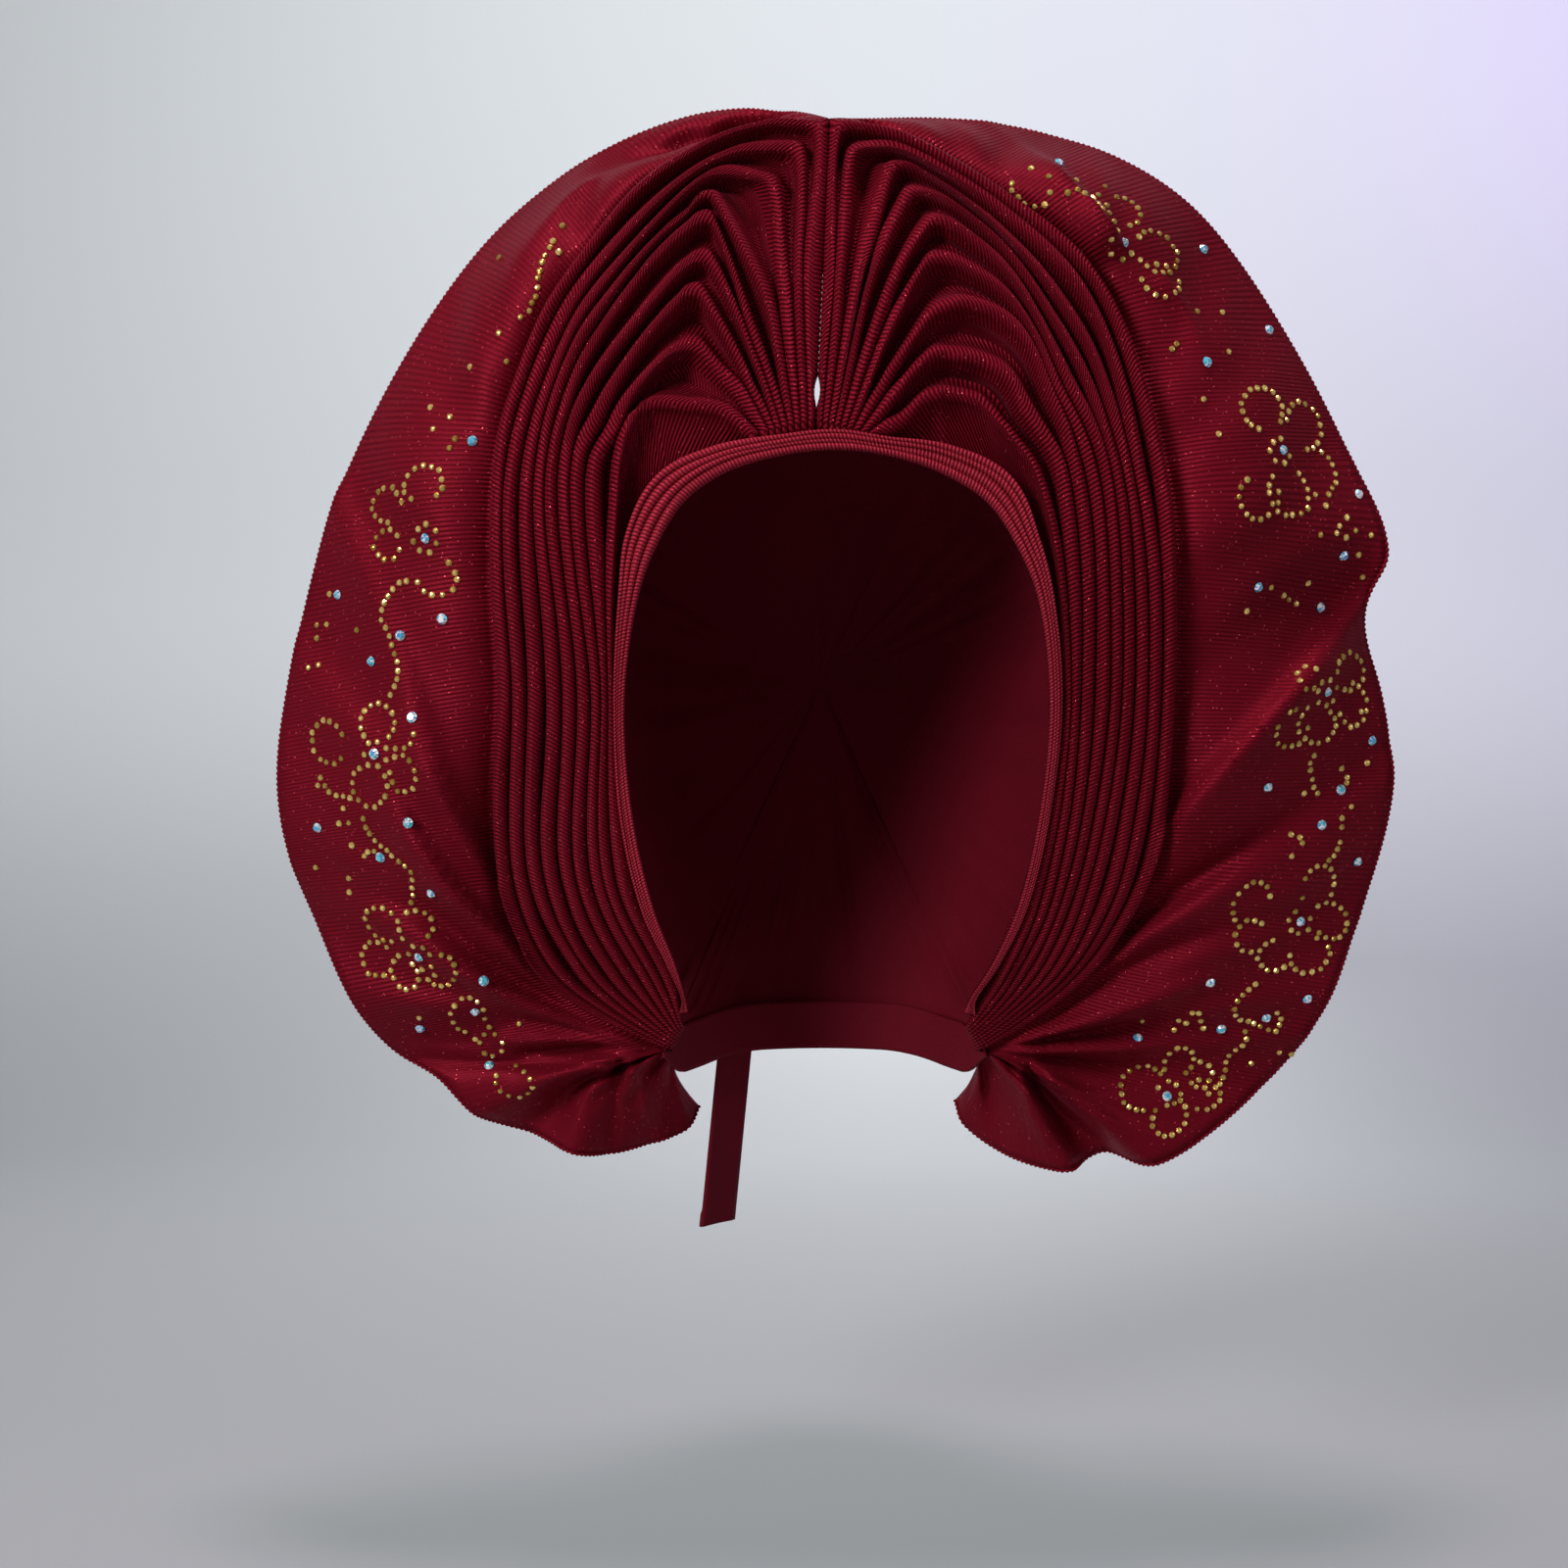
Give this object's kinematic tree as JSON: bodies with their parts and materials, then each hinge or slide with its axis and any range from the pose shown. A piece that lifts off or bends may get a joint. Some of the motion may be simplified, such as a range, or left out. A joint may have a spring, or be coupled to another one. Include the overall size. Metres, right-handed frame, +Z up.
{
  "type": "tied gele head tie",
  "caption": "Ready-tied gele head wrap: pleated fan of ribbed burgundy cloth round the face, wide fluted brim set with small stones, folded face band, cap, nape band and tie strap.",
  "frame": {"origin": "inside of the cap's crown, where the top of the head bears", "axes": "+Z up, the face opening towards -Y, +X to the right of someone who looks at the face opening"},
  "size_m": [0.3859, 0.1695, 0.39],
  "materials": {
    "ribbed_cloth": "ribbed burgundy cloth with a soft sheen",
    "band_cloth": "ribbed burgundy cloth, tightly wrapped",
    "plain_cloth": "plain burgundy cloth",
    "crystal": "clear cut stones with an iridescent back",
    "gold_stone": "small domed gold stones"
  },
  "bodies": {
    "root": {"left_fan": "ribbed_cloth", "right_fan": "ribbed_cloth", "face_band": "band_cloth", "cap": "plain_cloth", "nape_band": "plain_cloth", "tie_strap": "plain_cloth", "crystal_01": "crystal", "crystal_02": "crystal", "crystal_03": "crystal", "crystal_04": "crystal", "crystal_05": "crystal", "crystal_06": "crystal", "crystal_07": "crystal", "crystal_08": "crystal", "crystal_09": "crystal", "crystal_10": "crystal", "crystal_11": "crystal", "crystal_12": "crystal", "crystal_13": "crystal", "crystal_14": "crystal", "crystal_15": "crystal", "crystal_16": "crystal", "crystal_17": "crystal", "crystal_18": "crystal", "crystal_19": "crystal", "crystal_20": "crystal", "crystal_21": "crystal", "crystal_22": "crystal", "crystal_23": "crystal", "crystal_24": "crystal", "crystal_25": "crystal", "crystal_26": "crystal", "crystal_27": "crystal", "crystal_28": "crystal", "crystal_29": "crystal", "crystal_30": "crystal", "crystal_31": "crystal", "crystal_32": "crystal", "crystal_33": "crystal", "crystal_34": "crystal", "crystal_35": "crystal", "crystal_36": "crystal", "crystal_37": "crystal", "crystal_38": "crystal", "crystal_39": "crystal", "crystal_40": "crystal"}
  },
  "joints": []
}
